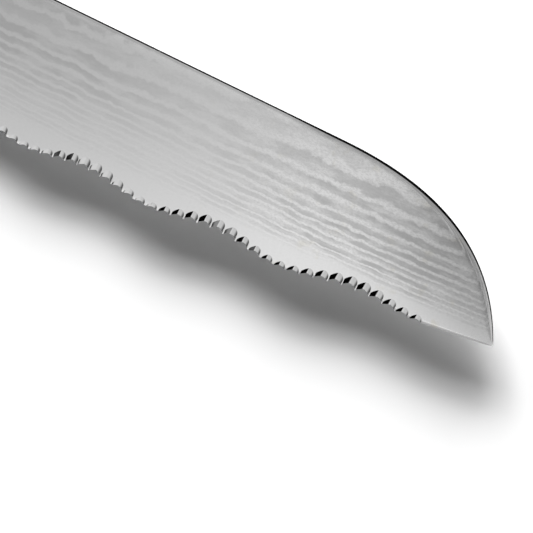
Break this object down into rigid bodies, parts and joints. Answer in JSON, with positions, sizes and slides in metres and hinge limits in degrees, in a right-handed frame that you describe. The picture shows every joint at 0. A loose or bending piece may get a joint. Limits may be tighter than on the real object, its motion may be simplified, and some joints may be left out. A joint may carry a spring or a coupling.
{
  "type": "serrated utility knife",
  "caption": "Kitchen utility knife with a waved, toothed edge ground into the right side of a layered-steel blade, on a full tang with steel bolsters and a riveted wooden handle.",
  "frame": {"origin": "on the flat side of the left handle scale, midway between the front and the middle rivet; the knife lies on this side", "axes": "+X to the tip, +Y to the spine (the edge is on -Y), +Z out of the right side, where the teeth are ground"},
  "size_m": [0.27, 0.0377, 0.018],
  "materials": {
    "layered_steel": "etched layer pattern, satin",
    "satin_steel": "satin",
    "rivet_steel": "polished",
    "dowel_steel": "ground",
    "liner_fibre": "matte fibre",
    "scale_wood": "polished laminated wood"
  },
  "bodies": {
    "root": {"blade": "layered_steel", "bolster_right": "satin_steel", "bolster_left": "satin_steel", "butt_cap_right": "satin_steel", "butt_cap_left": "satin_steel", "liner_right": "liner_fibre", "liner_left": "liner_fibre", "scale_right": "scale_wood", "scale_left": "scale_wood", "rivet_sleeve_front": "rivet_steel", "rivet_post_front": "rivet_steel", "rivet_sleeve_middle": "rivet_steel", "rivet_post_middle": "rivet_steel", "rivet_sleeve_rear": "rivet_steel", "rivet_post_rear": "rivet_steel", "bolster_dowel_upper": "dowel_steel", "bolster_dowel_lower": "dowel_steel", "butt_dowel_upper": "dowel_steel", "butt_dowel_lower": "dowel_steel"}
  },
  "joints": []
}
